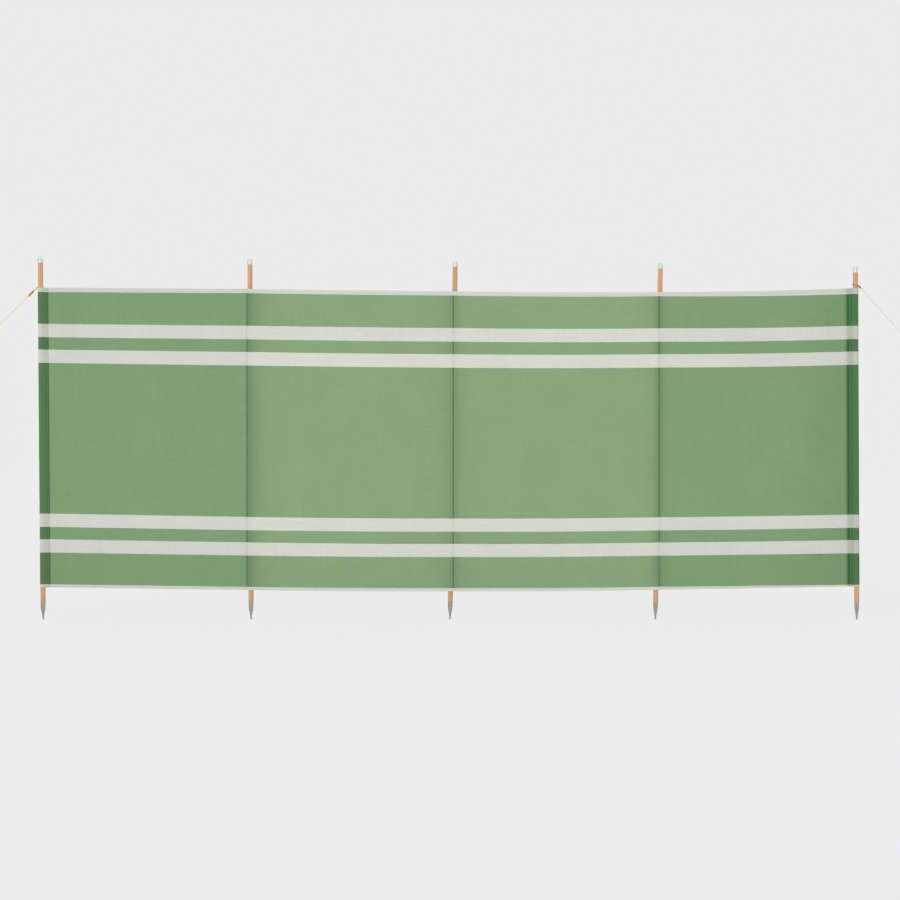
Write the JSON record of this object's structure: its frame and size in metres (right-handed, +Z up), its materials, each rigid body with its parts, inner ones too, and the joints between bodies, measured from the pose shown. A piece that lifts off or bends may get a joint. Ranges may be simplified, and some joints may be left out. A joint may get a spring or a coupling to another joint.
{
  "type": "beach windbreak",
  "caption": "Low screen of striped cotton cloth in bays, carried by round wooden poles with metal caps and steel ground spikes, with guy ropes and pegs at its ends.",
  "frame": {"origin": "middle of the blunt tip of the middle pole's spike", "axes": "+X along the cloth, to the right as seen from the front; +Z up; the plain front of the cloth faces -Y and the pockets of the inner poles are on +Y"},
  "size_m": [5.8956, 0.0403, 1.5171],
  "materials": {
    "striped_cloth": "plain-woven green cotton with woven off-white stripes, slightly translucent",
    "pocket_cloth": "the same cotton in two and three layers, so it looks darker",
    "pole_wood": "turned hardwood, lightly sanded, no varnish",
    "cap_metal": "bright drawn metal cap, satin",
    "spike_steel": "rolled sheet steel, dull zinc",
    "peg_steel": "zinc-plated wire",
    "guy_cord": "three-strand laid cord, pale yellow",
    "knot_cord": "the same cord in tight turns, stained orange-brown"
  },
  "bodies": {
    "root": {"pole_1": "pole_wood", "pole_2": "pole_wood", "pole_3": "pole_wood", "pole_4": "pole_wood", "pole_5": "pole_wood", "cap_1": "cap_metal", "cap_2": "cap_metal", "cap_3": "cap_metal", "cap_4": "cap_metal", "cap_5": "cap_metal", "spike_1": "spike_steel", "spike_2": "spike_steel", "spike_3": "spike_steel", "spike_4": "spike_steel", "spike_5": "spike_steel", "cloth_bay_1": "striped_cloth", "cloth_bay_2": "striped_cloth", "cloth_bay_3": "striped_cloth", "cloth_bay_4": "striped_cloth", "end_pocket_left": "pocket_cloth", "end_pocket_right": "pocket_cloth", "pole_pocket_2": "pocket_cloth", "pole_pocket_3": "pocket_cloth", "pole_pocket_4": "pocket_cloth", "guy_rope_left": "guy_cord", "guy_rope_right": "guy_cord", "guy_loop_left": "guy_cord", "guy_loop_right": "guy_cord", "guy_knot_left": "knot_cord", "guy_knot_right": "knot_cord", "peg_loop_left": "guy_cord", "peg_loop_right": "guy_cord", "peg_left": "peg_steel", "peg_right": "peg_steel"}
  },
  "joints": []
}
